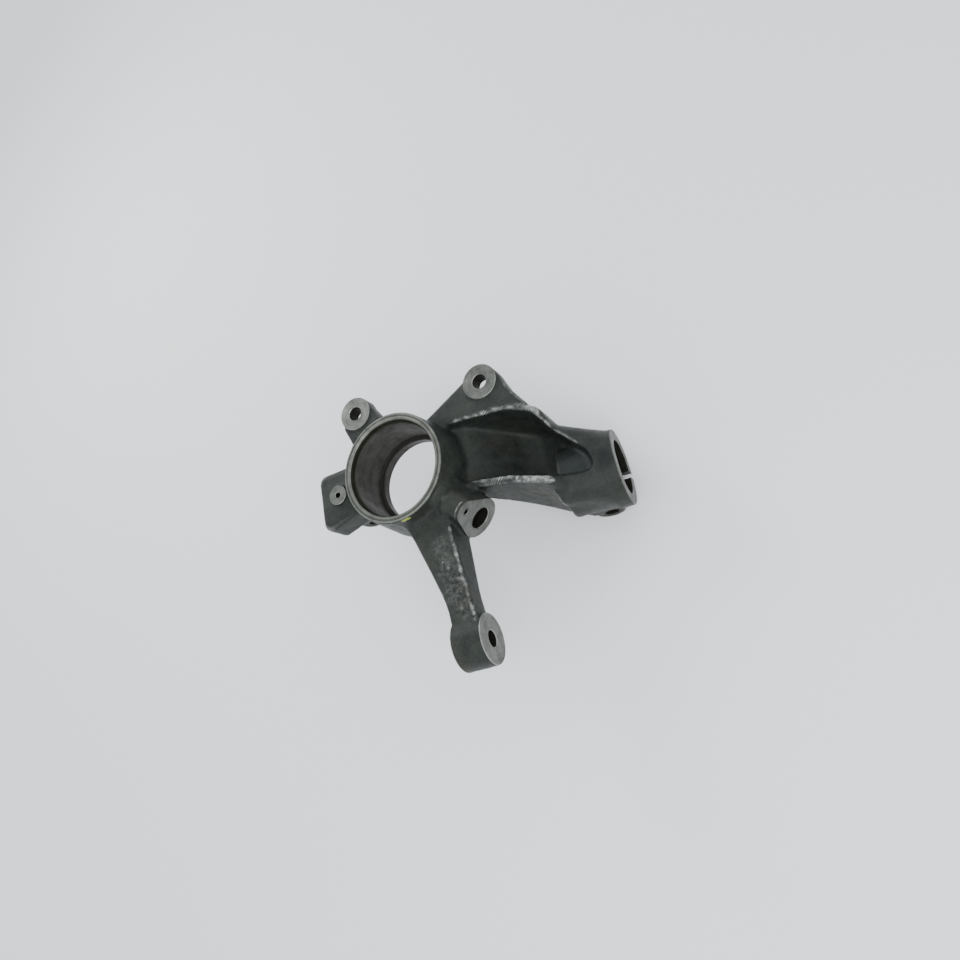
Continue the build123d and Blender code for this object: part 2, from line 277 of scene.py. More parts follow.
class CastSettings(bpy.types.PropertyGroup):
    """Form and finish of the cast skin."""
    mesh_step: FloatProperty(
        name="Mesh step", description="Distance between the skin's points",
        default=1.35 * MM, min=0.8 * MM, max=4 * MM, unit="LENGTH")
    blend_steps: IntProperty(
        name="Blend steps", description="How far inner corners are filled, in smoothing steps",
        default=24, min=0, max=200)
    edge_steps: IntProperty(
        name="Edge steps", description="How far outer edges are rounded, in smoothing steps",
        default=3, min=0, max=40)
    lump_height: FloatProperty(
        name="Lump height", description="Height of the casting's slow unevenness",
        default=0.28 * MM, min=0.0, max=1.0 * MM, unit="LENGTH")
    grain_height: FloatProperty(
        name="Grain height", description="Height of the sand grain that is in the mesh",
        default=0.10 * MM, min=0.0, max=0.5 * MM, unit="LENGTH")
    crumb_height: FloatProperty(
        name="Crumb height", description="Height of the lumps along edges and in the arm's coarse patch",
        default=0.55 * MM, min=0.0, max=1.5 * MM, unit="LENGTH")
    rib_height: FloatProperty(
        name="Rib height", description="Height of the rib round the sensor boss's root",
        default=1.0 * MM, min=0.0, max=3.0 * MM, unit="LENGTH")
    dark: FloatVectorProperty(
        name="Dark iron", description="Darker colour of the cast skin", subtype="COLOR",
        default=(0.0085, 0.0105, 0.0103), min=0.0, max=1.0)
    light: FloatVectorProperty(
        name="Light iron", description="Lighter colour of the cast skin", subtype="COLOR",
        default=(0.030, 0.036, 0.0295), min=0.0, max=1.0)
    stain: FloatVectorProperty(
        name="Stain", description="Colour of the faint brown patches", subtype="COLOR",
        default=(0.036, 0.032, 0.022), min=0.0, max=1.0)
    # Rubbed edges: real wear on edges and high spots; the same colour paints highlights on crests, flashes,
    # the arm's patch and the channel's edge
    rubbed: FloatVectorProperty(
        name="Rubbed edge", description="Colour of edges and high spots that are rubbed bare",
        subtype="COLOR", default=(0.42, 0.43, 0.41), min=0.0, max=1.0)
    paint: FloatVectorProperty(
        name="Paint mark", description="Colour of the small paint mark under the rim",
        subtype="COLOR", default=(0.30, 0.36, 0.05), min=0.0, max=1.0)
    roughness: FloatProperty(
        name="Roughness", description="Mean roughness of the cast skin", default=0.46, min=0.0, max=1.0)


class MachinedSettings(bpy.types.PropertyGroup):
    """Form and finish of the turned, milled and drilled surfaces."""
    sides: IntProperty(
        name="Sides", description="Number of sides in a full turn", default=160, min=24, max=512)
    recess: FloatProperty(
        name="Recess", description="How deep the cast skin lies under a machined surface",
        default=0.55 * MM, min=0.1 * MM, max=2 * MM, unit="LENGTH")
    bright: FloatVectorProperty(
        name="Bright iron", description="Colour of a milled face", subtype="COLOR",
        default=(0.148, 0.156, 0.141), min=0.0, max=1.0)
    rim: FloatVectorProperty(
        name="Rim", description="Colour of the hub's turned rim", subtype="COLOR",
        default=(0.080, 0.085, 0.070), min=0.0, max=1.0)
    # Painted highlight along the rim's chamfers
    rim_edge_highlight: FloatVectorProperty(
        name="Rim edge", description="Colour of the chamfers of the hub's rim", subtype="COLOR",
        default=(0.21, 0.22, 0.195), min=0.0, max=1.0)
    worn: FloatVectorProperty(
        name="Dull iron", description="Colour of the faces of the two clamps", subtype="COLOR",
        default=(0.085, 0.09, 0.082), min=0.0, max=1.0)
    # Painted highlight along the machined chamfers of the pads and holes
    edge: FloatVectorProperty(
        name="Edge", description="Colour of a machined edge", subtype="COLOR",
        default=(0.36, 0.37, 0.34), min=0.0, max=1.0)
    # Painted shade inside the holes: the drilled walls are near black
    wall: FloatVectorProperty(
        name="Drilled wall", description="Colour of the wall of a hole", subtype="COLOR",
        default=(0.020, 0.020, 0.016), min=0.0, max=1.0)
    # The seat's colour is darkened for the painted shade inside the hub's bore
    seat: FloatVectorProperty(
        name="Seat", description="Colour of the oiled bearing seat", subtype="COLOR",
        default=(0.066, 0.063, 0.056), min=0.0, max=1.0)
    # The grooves' colour is painted shade in the grooves
    groove: FloatVectorProperty(
        name="Groove", description="Colour of the oily grooves", subtype="COLOR",
        default=(0.034, 0.036, 0.024), min=0.0, max=1.0)
    roughness: FloatProperty(
        name="Roughness", description="Mean roughness of a machined face", default=0.42, min=0.0, max=1.0)


class StageSettings(bpy.types.PropertyGroup):
    """Floor and lights."""
    floor_size: FloatProperty(
        name="Floor size", description="Side of the square floor",
        default=6.0, min=1.0, max=20.0, unit="LENGTH")
    floor_colour: FloatVectorProperty(
        name="Floor colour", description="Colour of the floor", subtype="COLOR",
        default=(0.94, 0.945, 0.95), min=0.0, max=1.0)
    sky: FloatProperty(
        name="Sky", description="Strength of the even light from all round", default=1.35, min=0.0, max=5.0)
    key_power: FloatProperty(
        name="Key light", description="Power of the light behind the casting",
        default=3.4, min=0.0, max=200.0, unit="POWER")
    fill_power: FloatProperty(
        name="Fill light", description="Power of the light over the camera",
        default=5.5, min=0.0, max=200.0, unit="POWER")


# ---------------------------------------------------------------------------------------------------
# Numbers and meshes
# ---------------------------------------------------------------------------------------------------

def lattice(corner, seed):
    """Repeatable number from 0 to 1 at each whole-number corner, by mixing its three coordinates."""
    mixed = corner[:, 0] * 73856093 + corner[:, 1] * 19349663 + corner[:, 2] * 83492791 + seed * 2654435761
    mixed = (mixed ^ (mixed >> 13)) * 1274126177
    mixed = (mixed ^ (mixed >> 16)) & 0xFFFFFF
    return mixed / float(0xFFFFFF)


def noise(points, cell, seed):
    """Value noise from -1 to 1: corner numbers, blended across each cell by 3t^2 - 2t^3."""
    scaled = points / cell
    low = np.floor(scaled).astype(np.int64)
    t = scaled - low
    t = t * t * (3.0 - 2.0 * t)
    total = np.zeros(len(points))
    for dx in (0, 1):
        for dy in (0, 1):
            for dz in (0, 1):
                step = np.array((dx, dy, dz))
                weight = np.prod(np.where(step == 1, t, 1.0 - t), axis=1)
                total += weight * lattice(low + step, seed)
    return total * 2.0 - 1.0


def layers(points, parts):
    """Sum of layers of noise, each given as (share, cell in millimetres, seed)."""
    return sum(share * noise(points, cell * MM, seed) for share, cell, seed in parts)


def ramp(value, low, high):
    """0 below low, 1 above high, and 3t^2 - 2t^3 between."""
    t = np.clip((value - low) / (high - low), 0.0, 1.0)
    return t * t * (3.0 - 2.0 * t)


def new_object(name, mesh):
    piece = bpy.data.objects.new(name, mesh)
    bpy.context.scene.collection.objects.link(piece)
    return piece


def finish_piece(piece, materials):
    """Gives a finished piece its materials and its body, and lets it stand for the casting."""
    for material in materials:
        piece.data.materials.append(material)
    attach(piece, "root")
    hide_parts(NODE)


def frame_of(origin, axis):
    """Frame at an origin, in metres, whose Z is the axis: its three directions and origin as columns."""
    z = Vector(axis).normalized()
    side = Vector((0, 1, 0)) if abs(z.y) < 0.9 else Vector((1, 0, 0))
    x = side.cross(z).normalized()
    y = z.cross(x)
    rows = [[x[i], y[i], z[i], origin[i]] for i in range(3)]
    return np.array(rows)


def to_world(matrix, points):
    """The origin plus each coordinate times its direction."""
    return points @ matrix[:, :3].T + matrix[:, 3]


def to_local(matrix, points):
    """The steps from the origin to each point, measured along the frame's directions."""
    return (points - matrix[:, 3]) @ matrix[:, :3]


# ---------------------------------------------------------------------------------------------------
# Machined surfaces
# ---------------------------------------------------------------------------------------------------

def tight(profile, step):
    """The profile with points added, so that no side is longer than a step, and each point's finish."""
    points = []
    kinds = []
    for i, (r, z, finish) in enumerate(profile):
        r2, z2, _ = profile[(i + 1) % len(profile)]
        count = max(1, int(math.ceil(math.hypot(r2 - r, z2 - z) / step)))
        points += [(r + (r2 - r) * k / count, z + (z2 - z) * k / count) for k in range(count)]
        kinds += [finish] * count
    return np.array(points), np.array(kinds)


def turned(name, matrix, profile, sides, slit=0.0, slit_at=0.0):
    """A closed ring: each point (r, z) of the profile is carried round the axis, with its finish.

    x = r cos(a), y = r sin(a), with a from 0 to 2 pi. With a slit, a starts and ends where the ring
    meets two parallel planes, at asin(slit / r) either side of slit_at, and both ends are capped.
    """
    loop, kinds = tight(profile, PROFILE_STEP)
    rows = sides + 1 if slit else sides
    part = np.linspace(0.0, 1.0, rows, endpoint=bool(slit))
    clear = np.arcsin(np.clip(slit / loop[:, 0], 0.0, 0.9)) if slit else np.zeros(len(loop))
    angle = slit_at + clear[None, :] + part[:, None] * (2 * math.pi - 2 * clear[None, :])
    x = loop[None, :, 0] * np.cos(angle)
    y = loop[None, :, 0] * np.sin(angle)
    z = np.broadcast_to(loop[None, :, 1], x.shape)
    points = to_world(matrix, np.stack([x, y, z], 2).reshape(-1, 3) * MM)
    n = len(loop)
    i, j = np.meshgrid(np.arange(sides), np.arange(n), indexing="ij")
    i2 = (i + 1) % rows
    j2 = (j + 1) % n
    faces = np.stack([i * n + j, i2 * n + j, i2 * n + j2, i * n + j2], 2).reshape(-1, 4).tolist()
    if slit:
        flat = [Vector((r, h, 0)) for r, h in loop]
        caps = [tuple(t) for t in tessellate_polygon([flat])]
        faces += [list(t) for t in caps]
        faces += [[k + (rows - 1) * n for k in t] for t in caps]
    mesh = bpy.data.meshes.new(name)
    mesh.from_pydata(points.tolist(), [], faces)
    slots = np.zeros(len(faces), np.int32)
    slots[:sides * n] = np.tile(kinds, sides)
    mesh.polygons.foreach_set("material_index", slots)
    piece = new_object(name, mesh)
    outward(mesh)
    run = np.concatenate([[0.0], np.cumsum(np.hypot(*np.diff(loop, axis=0).T))])
    write_uv(mesh, np.tile(run, rows) * MM, np.repeat(part, n))
    return piece


def write_uv(mesh, along, around):
    """UV map for the tool marks, which run along u and follow one another along v."""
    layer = mesh.uv_layers.new(name="turning")
    corner = np.empty(len(mesh.loops), np.int32)
    mesh.loops.foreach_get("vertex_index", corner)
    layer.data.foreach_set("uv", np.stack([around[corner], along[corner]], 1).astype(np.float32).ravel())


def outward(mesh):
    """Turns all faces outwards and marks sharp corners."""
    shape = bmesh.new()
    shape.from_mesh(mesh)
    bmesh.ops.recalc_face_normals(shape, faces=shape.faces)
    for edge in shape.edges:
        edge.smooth = edge.calc_face_angle(0.0) < math.radians(SHARP_ANGLE)
    for face in shape.faces:
        face.smooth = True
    shape.to_mesh(mesh)
    shape.free()


def bore_profile(pad_r, bore_r, depth, far_pad_r=None):
    """Profile of a drilled pad: the side in view (face, edge, wall, far face) and the side in the casting."""
    lining = bore_r + LINING_T
    front = [
        (pad_r, -PAD_SIDE, EDGE), (pad_r, -PAD_CHAMFER, EDGE), (pad_r - PAD_CHAMFER, 0.0, FACE),
        (bore_r + HOLE_CHAMFER, 0.0, EDGE), (bore_r, -HOLE_CHAMFER, WALL),
    ]
    if far_pad_r:
        front += [
            (bore_r, -depth + HOLE_CHAMFER, EDGE), (bore_r + HOLE_CHAMFER, -depth, FACE),
            (far_pad_r - PAD_CHAMFER, -depth, EDGE), (far_pad_r, -depth + PAD_CHAMFER, EDGE),
            (far_pad_r, -depth + PAD_SIDE, WALL),
        ]
        return front, [(lining, -depth + LINING_DROP, WALL), (lining, -LINING_DROP, WALL)]
    front += [(bore_r, -depth, WALL)]
    return front, [(lining, -depth, WALL), (lining, -LINING_DROP, WALL)]


def drilled(name, mount, pad_r, sides, far_pad_r, slit, free):
    """The pad and wall of a round mount, from the face where its mate leaves.

    With slit, its half width, the ring is split. With free, the pad's edge stands free of the casting.
    """
    length = mount["dims"]["length_mm"]
    axis = Vector(mount["axis"]).normalized()
    matrix = frame_of(Vector(mount["pos_m"]) + axis * (length * MM / 2), axis)
    front, back = bore_profile(pad_r, mount["dims"]["r_mm"], length, far_pad_r)
    slit_at = slit_angle(matrix) if slit else 0.0
    edges = ((pad_r, 0.0, 1),) if free else ()
    if far_pad_r == pad_r:
        edges += ((pad_r, -length, -1),)
    return turned(name, matrix, front + back, sides, slit, slit_at), (matrix, plain(front), edges)


def plain(profile):
    """A profile's points without their finishes."""
    return np.array(profile)[:, :2]


def slit_angle(matrix):
    """Angle, in the ring's own frame, of the inboard direction, where the slit is."""
    local = np.array((0.0, 0.0, -1.0)) @ matrix[:, :3]
    return math.atan2(local[1], local[0])


def ear_bores(name, mount, sides):
    """The two ends of a bolt hole through a pair of ears."""
    made = []
    axis = Vector(mount["axis"]).normalized()
    half = mount["dims"]["length_mm"] / 2
    radius = mount["dims"]["r_mm"]
    centre = Vector((mount["pos_m"][0], EAR_MIDDLES[name], mount["pos_m"][2]))
    for side, way in (("near", 1), ("far", -1)):
        matrix = frame_of(centre + axis * (way * half * MM), axis * way)
        front, back = bore_profile(radius + EAR_BORE_FACE, radius, EAR_LINING)
        made.append((turned(f"{name}_{side}", matrix, front + back, sides), (matrix, plain(front), ())))
    return made


def hub_ring(sides):
    """Rim, retaining-ring groove, bearing seat and shoulder, turned as one ring."""
    matrix = frame_of((0.0, 0.0, RIM_Z * MM), (0, 0, 1))
    piece = turned("hub_bore", matrix, HUB_FRONT + HUB_BACK, sides)
    open_tip_hole(piece)
    return piece, (matrix, plain(HUB_FRONT), ((HUB_FRONT[0][0], 0.0, 1),))


def open_tip_hole(ring):
    """Cuts the sensor's inner hole through the hub's ring."""
    mount = MOUNTS["wheel_speed_sensor"]
    axis = Vector(mount["axis"]).normalized()
    turn = axis.to_track_quat("Z", "Y").to_matrix().to_4x4()
    shape = bmesh.new()
    place = Matrix.Translation(axis * (TIP_HOLE_AT * MM) + Vector((0, 0, mount["pos_m"][2]))) @ turn
    radius = TIP_HOLE_R * MM
    bmesh.ops.create_cone(
        shape, cap_ends=True, segments=TIP_HOLE_POINTS, radius1=radius, radius2=radius,
        depth=TIP_HOLE_L * MM, matrix=place)
    mesh = bpy.data.meshes.new("tip_hole")
    shape.to_mesh(mesh)
    shape.free()
    cutter = new_object("tip_hole", mesh)
    cut = ring.modifiers.new("Tip hole", "BOOLEAN")
    cut.operation = "DIFFERENCE"
    cut.solver = "EXACT"
    cut.object = cutter
    settle(ring)
    bpy.data.objects.remove(cutter)


def settle(piece):
    """Replaces a piece's mesh by the one that its modifiers make."""
    bpy.context.view_layer.update()
    ready = piece.evaluated_get(bpy.context.evaluated_depsgraph_get())
    mesh = bpy.data.meshes.new_from_object(ready)
    mesh.name = piece.name
    piece.modifiers.clear()
    piece.data = mesh


def sensor_outline(count):
    """Outline of the sensor pad: the line round a large circle and a small one above it."""
    tilt = math.acos((SENSOR_PAD_R - SENSOR_EAR_R) / SENSOR_EAR_RISE)
    big = np.linspace(math.pi / 2 + tilt, 2.5 * math.pi - tilt, count)
    small = np.linspace(math.pi / 2 - tilt, math.pi / 2 + tilt, count // 2)
    low = np.stack([SENSOR_PAD_R * np.cos(big), SENSOR_PAD_R * np.sin(big)], 1)
    high = np.stack([SENSOR_EAR_R * np.cos(small), SENSOR_EAR_RISE + SENSOR_EAR_R * np.sin(small)], 1)
    return np.concatenate([low, high])


def sensor_frame():
    """Matrix on the sensor pad's face: X round the barrel, Y outboard, Z out of the bore."""
    mount = MOUNTS["wheel_speed_sensor"]
    z = Vector(mount["axis"]).normalized()
    y = Vector((0, 0, 1))
    x = y.cross(z)
    at = Vector(mount["pos_m"]) + z * (mount["dims"]["length_mm"] * MM / 2)
    return np.array([[x[i], y[i], z[i], at[i]] for i in range(3)])


def sensor_pad():
    """The milled face of the sensor boss: a thin plate with two holes, flat on both sides."""
    outline = sensor_outline(SENSOR_PAD_POINTS)
    round_part = np.linspace(0, 2 * math.pi, SENSOR_HOLE_POINTS, endpoint=False)
    circle = np.stack([np.cos(round_part), np.sin(round_part)], 1)
    big = circle[::-1] * (MOUNTS["wheel_speed_sensor"]["dims"]["r_mm"] + SENSOR_HOLE_GAP)
    small = circle[::-1] * (MOUNTS["sensor_screw"]["dims"]["r_mm"] + SCREW_HOLE_GAP) + (0, SENSOR_EAR_RISE)
    loops = [outline, big, small]
    flat = np.concatenate(loops)
    top = np.column_stack([flat, np.zeros(len(flat))])
    low = np.column_stack([flat, np.full(len(flat), -SENSOR_PAD_T)])
    points = to_world(sensor_frame(), np.concatenate([top, low]) * MM)
    tris = tessellate_polygon([[Vector((p[0], p[1], 0)) for p in loop] for loop in loops])
    n = len(flat)
    faces = [list(t) for t in tris] + [[k + n for k in t] for t in tris]
    start = 0
    for loop in loops:
        k = np.arange(len(loop))
        k2 = (k + 1) % len(loop)
        faces += np.stack([start + k, start + k2, start + k2 + n, start + k + n], 1).tolist()
        start += len(loop)
    mesh = bpy.data.meshes.new("sensor_pad")
    mesh.from_pydata(points.tolist(), [], faces)
    piece = new_object("sensor_pad", mesh)
    outward(mesh)
    write_uv(mesh, np.tile(flat[:, 1], 2) * MM, np.tile(flat[:, 0], 2) * MM)
    return piece


# ---------------------------------------------------------------------------------------------------
# Cast skin
# ---------------------------------------------------------------------------------------------------

def casting_mesh(step):
    """The solid's triangles, joined and laid out again as an even net of squares."""
    shape = bmesh.new()
    shape.from_mesh(frame["nodes"][NODE].data)
    bmesh.ops.remove_doubles(shape, verts=shape.verts, dist=0.005 * MM)
    mesh = bpy.data.meshes.new("cast_skin")
    shape.to_mesh(mesh)
    shape.free()
    piece = new_object("cast_skin", mesh)
    net = piece.modifiers.new("Net", "REMESH")
    net.mode = "VOXEL"
    net.voxel_size = step
    net.adaptivity = 0.0
    settle(piece)
    return piece


class Net:
    """A mesh as arrays: places, edges, and each point's normal and mean of its neighbours."""

    def __init__(self, mesh):
        self.mesh = mesh
        self.places = np.empty(len(mesh.vertices) * 3, np.float32)
        mesh.vertices.foreach_get("co", self.places)
        self.places = self.places.reshape(-1, 3).astype(float)
        self.edges = np.empty(len(mesh.edges) * 2, np.int32)
        mesh.edges.foreach_get("vertices", self.edges)
        self.edges = self.edges.reshape(-1, 2)
        ends = self.edges.ravel()
        self.degree = np.maximum(np.bincount(ends, minlength=len(self.places)), 1)[:, None]

    def mean(self, values):
        """Mean of the neighbours' values."""
        a, b = self.edges.T
        total = np.zeros_like(values)
        for axis in range(values.shape[1]):
            total[:, axis] = np.bincount(a, values[b, axis], len(values))
            total[:, axis] += np.bincount(b, values[a, axis], len(values))
        return total / self.degree

    def store(self):
        """Puts the places back into the mesh."""
        self.mesh.vertices.foreach_set("co", self.places.astype(np.float32).ravel())
        self.mesh.update()

    def normals(self):
        """The surface's direction at each point, as it is now."""
        self.store()
        normal = np.empty(len(self.places) * 3, np.float32)
        self.mesh.vertices.foreach_get("normal", normal)
        return normal.reshape(-1, 3).astype(float)


def pad_distance(local):
    """Signed distance from (x, y) to the sensor pad's outline, the hull of its two circles.

    The hull is every circle whose centre and radius lie a share t of the way from one to the other.
    """
    share = np.linspace(0.0, 1.0, HULL_CIRCLES)
    radius = SENSOR_PAD_R + share * (SENSOR_EAR_R - SENSOR_PAD_R)
    gap = np.hypot(local[:, 0, None], local[:, 1, None] - share * SENSOR_EAR_RISE) - radius
    return gap.min(axis=1)


def keep_out(places, rings):
    """Distance from each point to the nearest machined surface, in metres."""
    local = to_local(sensor_frame(), places) / MM
    nearest = np.hypot(np.maximum(pad_distance(local), 0.0), local[:, 2]) * MM
    for matrix, front, _ in rings:
        local = to_local(matrix, places) / MM
        flat = np.column_stack([np.hypot(local[:, 0], local[:, 1]), local[:, 2]])
        nearest = np.minimum(nearest, profile_distance(flat, front)[0] * MM)
    return nearest


def profile_distance(flat, front):
    """Distance from (r, z) points to a profile, and the nearest point and side of it."""
    best = np.full(len(flat), 1e9)
    near = np.zeros_like(flat)
    side = np.zeros(len(flat), int)
    for i in range(len(front) - 1):
        a = front[i]
        d = front[i + 1] - a
        t = np.clip(((flat - a) @ d) / (d @ d), 0.0, 1.0)
        spot = a + t[:, None] * d
        gap = np.hypot(*(flat - spot).T)
        closer = gap < best
        best = np.where(closer, gap, best)
        near[closer] = spot[closer]
        side[closer] = i
    return best, near, side


def relax(net, rings, blend_steps, edge_steps):
    """Fills inner corners and eases outer edges, as a mould's fillets do.

    Each step moves a point by a share of its pull, the way to the mean of its neighbours. In the
    blending steps the pull into the metal is left out, so inner corners fill and outer edges stay. The
    levelling steps go in and a little further out again, which takes the net's own steps away and keeps
    the form.
    """
    free = ramp(keep_out(net.places, rings), *SMOOTH_CLEAR)[:, None]
    for step in range(blend_steps):
        if step % NORMAL_EVERY == 0:
            normal = net.normals()
        pull = net.mean(net.places) - net.places
        out = np.maximum(np.sum(pull * normal, axis=1), 0.0)[:, None]
        slide = pull - np.sum(pull * normal, axis=1)[:, None] * normal
        net.places += free * (BLEND_OUT * out * normal + BLEND_SLIDE * slide)
    for _ in range(edge_steps):
        net.places += np.maximum(free, EDGE_LEAST) * EDGE_SHARE * (net.mean(net.places) - net.places)
    for _ in range(LEVEL_STEPS):
        for share in LEVEL_SHARES:
            net.places += share * free * (net.mean(net.places) - net.places)
    for middle, reach in EASED:
        gap = np.linalg.norm(net.places - middle, axis=1)[:, None]
        ease = free * (1.0 - ramp(gap, 0.4 * reach, reach))
        for _ in range(EASE_STEPS):
            net.places += EASE_SHARE * ease * (net.mean(net.places) - net.places)


def sink(net, rings, depth):
    """Lays the skin just under each machined surface, which then shows alone.

    A point near a profile goes to the profile's nearest point and from there a depth into the metal.
    The upright outer side of a pad is left out, because the skin meets it from outside.
    """
    depth_mm = depth / MM
    for matrix, front, _ in rings:
        local = to_local(matrix, net.places) / MM
        radius = np.hypot(local[:, 0], local[:, 1])
        flat = np.column_stack([radius, local[:, 2]])
        gap, near, side = profile_distance(flat, front)
        lines = np.diff(front, axis=0)
        inward = np.stack([-lines[:, 1], lines[:, 0]], 1) / np.hypot(*lines.T)[:, None]
        under = near + inward[side] * depth_mm
        outer_wall = (lines[:, 0] == 0) & (front[:-1, 0] > front[0, 0] - 0.01)
        touch = (gap < SINK_REACH) & ~outer_wall[side]
        radius_new = np.where(touch, under[:, 0], radius)
        height_new = np.where(touch, under[:, 1], local[:, 2])
        scale = radius_new / np.maximum(radius, 1e-6)
        local[:, 0] *= scale
        local[:, 1] *= scale
        local[:, 2] = height_new
        net.places = np.where(touch[:, None], to_world(matrix, local * MM), net.places)


def clear_grooves(net):
    """Draws the skin back behind the hub's grooves, which are finer than its net."""
    radius = np.hypot(net.places[:, 0], net.places[:, 1]) / MM
    height = net.places[:, 2] / MM - RIM_Z
    for low, high, keep in HUB_CLEARANCES:
        near = (height > low) & (height < high) & (radius < keep)
        net.places[near, :2] *= (keep / radius[near])[:, None]


def trim_edges(net, rings):
    """Ends the skin in a clean line just under the edge of each machined face that stands free."""
    for matrix, _, edges in rings:
        for pad_r, face_at, way in edges:
            local = to_local(matrix, net.places) / MM
            radius = np.hypot(local[:, 0], local[:, 1])
            below = (face_at - local[:, 2]) * way
            near = (np.abs(below) < TRIM_HEIGHT) & (np.abs(radius - pad_r) < TRIM_REACH)
            local[near, :2] *= ((pad_r + SKIN_PROUD) / radius[near])[:, None]
            local[near, 2] = face_at - way * SKIN_EDGE
            net.places[near] = to_world(matrix, local[near] * MM)


def sink_pad(net, depth):
    """Lays the skin just under the sensor pad's flat face."""
    matrix = sensor_frame()
    local = to_local(matrix, net.places)
    inside = (pad_distance(local / MM) < PAD_MARGIN) & (np.abs(local[:, 2]) < SINK_REACH * MM)
    local[inside, 2] = -depth
    net.places[inside] = to_world(matrix, local[inside])


def write_float(mesh, name, values):
    layer = mesh.attributes.new(name, "FLOAT", "POINT")
    layer.data.foreach_set("value", values.astype(np.float32))


def line_share(places, line, reach):
    """1 on a line of points and 0 beyond its ragged reach."""
    gap = np.full(len(places), 1.0)
    for start, end in zip(np.array(line[:-1]), np.array(line[1:])):
        way = end - start
        along = np.clip((places - start) @ way / (way @ way), 0.0, 1.0)
        gap = np.minimum(gap, np.linalg.norm(places - start - along[:, None] * way, axis=1))
    gap += RAGGED_SHARE * reach * noise(places, RAGGED_CELL * reach, RAGGED_SEED)
    return 1.0 - ramp(gap, WHOLE_SHARE * reach, reach)


def lines_share(places, lines, reach):
    """The greatest share that any of the lines gives each point."""
    return np.max([line_share(places, line, reach) for line in lines], axis=0)


def roughen(net, rings, settings, crest):
    """Moves points along their normals by noise: slow lumps, grain, and crumbs on crests and the patch."""
    free = ramp(keep_out(net.places, rings), *ROUGH_CLEAR)
    normal = net.normals()
    height = settings.lump_height * layers(net.places, LUMPS)
    height += settings.grain_height * layers(net.places, GRAIN)
    crumbs = CREST_CRUMBS * ramp(crest, *CREST_BULGE)
    crumbs += PATCH_CRUMBS * line_share(net.places, PATCH, PATCH_REACH)
    height += settings.crumb_height * crumbs * layers(net.places, CRUMBS)
    flash = lines_share(net.places, FLASHES, FLASH_REACH)
    height += settings.crumb_height * flash * (FLASH_BASE + layers(net.places, FLASH_CRUMBS))
    height += settings.rib_height * line_share(net.places, BOSS_RIB, BOSS_RIB_REACH)
    net.places += (free * height)[:, None] * normal


def edge_values(net, step, passes):
    """How strongly each point bulges (above 0) or lies in a hollow (below 0).

    It is the height over the mean of the neighbours as a share of the net's step, and each pass
    replaces it by the neighbours' mean.
    """
    normal = net.normals()
    bulge = np.sum((net.places - net.mean(net.places)) * normal, axis=1)[:, None] / step
    for _ in range(passes):
        bulge = net.mean(bulge)
    return bulge[:, 0]


def cast_skin(settings, machined, rings):
    """The skin, and two values at each of its points for the material: how it bulges, lowered in the recess
    beside the clamp for painted shade, and where a highlight is painted.
    """
    piece = casting_mesh(settings.mesh_step)
    net = Net(piece.data)
    relax(net, rings, settings.blend_steps, settings.edge_steps)
    sink_pad(net, machined.recess)
    sink(net, rings, machined.recess)
    clear_grooves(net)
    trim_edges(net, rings)
    roughen(net, rings, settings, edge_values(net, settings.mesh_step, 3))
    clear = ramp(keep_out(net.places, rings), *WEAR_AND_PAINTED_LIGHT_CLEAR)
    clear *= 1.0 - RIB_SPARES * line_share(net.places, BOSS_RIB, RIB_SPARES_REACH)
    bulge = clear * edge_values(net, settings.mesh_step, 2)
    # Painted shade: the recess beside the clamp counts as a deeper hollow, so it is darkened
    bulge -= PAINTED_SHADE_DEPTH * line_share(net.places, PAINTED_SHADE_LINE, PAINTED_SHADE_REACH)
    write_float(net.mesh, "bulge", bulge)
    # Painted highlight: lighter, glossier stripes on the channel's edge, the arm's patch and the flashes
    shine = lines_share(net.places, PAINTED_HIGHLIGHTS, PAINTED_HIGHLIGHT_REACH)
    shine = np.maximum(shine, PATCH_HIGHLIGHT * line_share(net.places, PATCH, PATCH_REACH))
    shine = np.maximum(shine, FLASH_HIGHLIGHT * lines_share(net.places, FLASHES, FLASH_REACH))
    write_float(net.mesh, "shine", shine)
    net.store()
    piece.data.polygons.foreach_set("use_smooth", np.full(len(piece.data.polygons), True))
    return piece


# ---------------------------------------------------------------------------------------------------
# Materials
# ---------------------------------------------------------------------------------------------------

